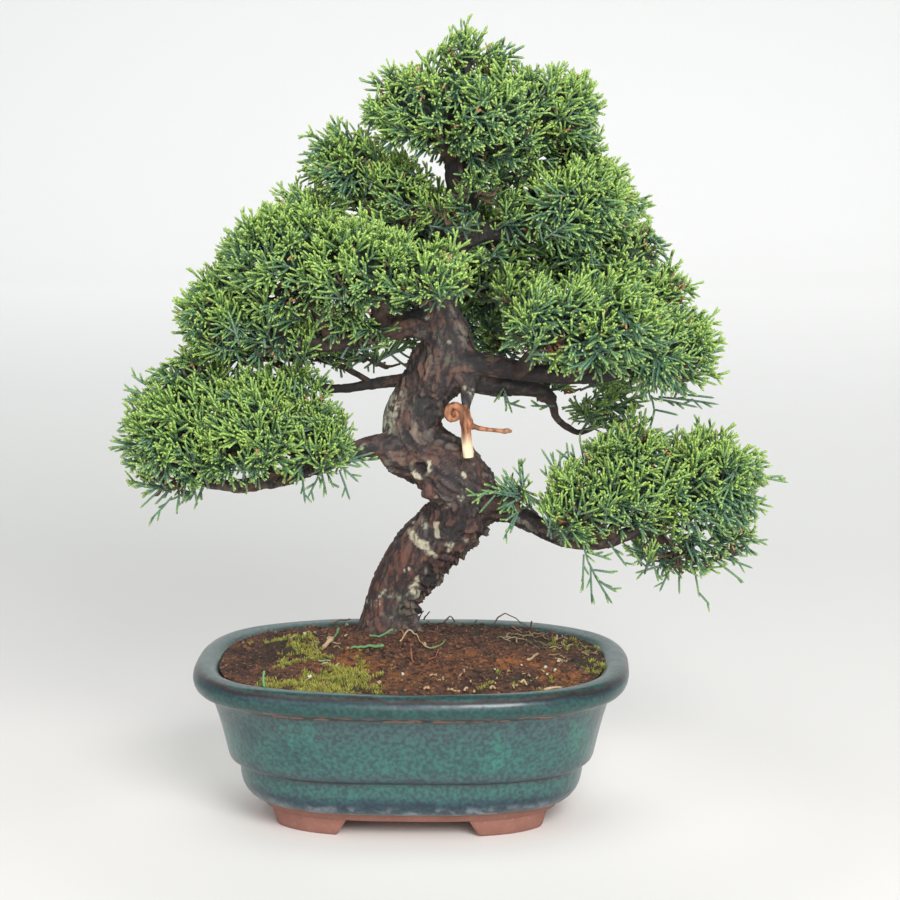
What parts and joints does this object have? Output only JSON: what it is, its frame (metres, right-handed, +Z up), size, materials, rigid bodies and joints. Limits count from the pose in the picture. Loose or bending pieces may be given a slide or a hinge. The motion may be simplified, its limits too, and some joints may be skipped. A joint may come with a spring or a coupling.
{
  "type": "chinese juniper bonsai",
  "caption": "Potted Chinese juniper bonsai: a leaning, twisting trunk with layered foliage pads in an oval glazed pot on short feet.",
  "frame": {"origin": "the middle of the whole plant's box, on the surface that the pot stands on", "axes": "+Z up, +X to the right and +Y to the back as seen from the tree's front"},
  "size_m": [0.2438, 0.1508, 0.3],
  "materials": {
    "pot_glaze": "gloss",
    "pot_clay": "matte",
    "drain_screen": "matte",
    "soil": "matte",
    "moss": "matte",
    "bark": "matte",
    "deadwood": "matte",
    "foliage": "matte"
  },
  "bodies": {
    "root": {"pot": "pot_glaze", "drain_screen_left": "drain_screen", "drain_screen_right": "drain_screen", "soil": "soil", "wood": "bark", "deadwood": "deadwood", "foliage_crown": "foliage", "foliage_shoulder": "foliage", "foliage_shoulder_back": "foliage", "foliage_left_main": "foliage", "foliage_left_back": "foliage", "foliage_right_upper": "foliage", "foliage_right_upper_back": "foliage", "foliage_right_main": "foliage", "foliage_right_back": "foliage", "foliage_left_low": "foliage", "foliage_right_low": "foliage", "foliage_sprig": "foliage", "foliage_back": "foliage"}
  },
  "joints": []
}
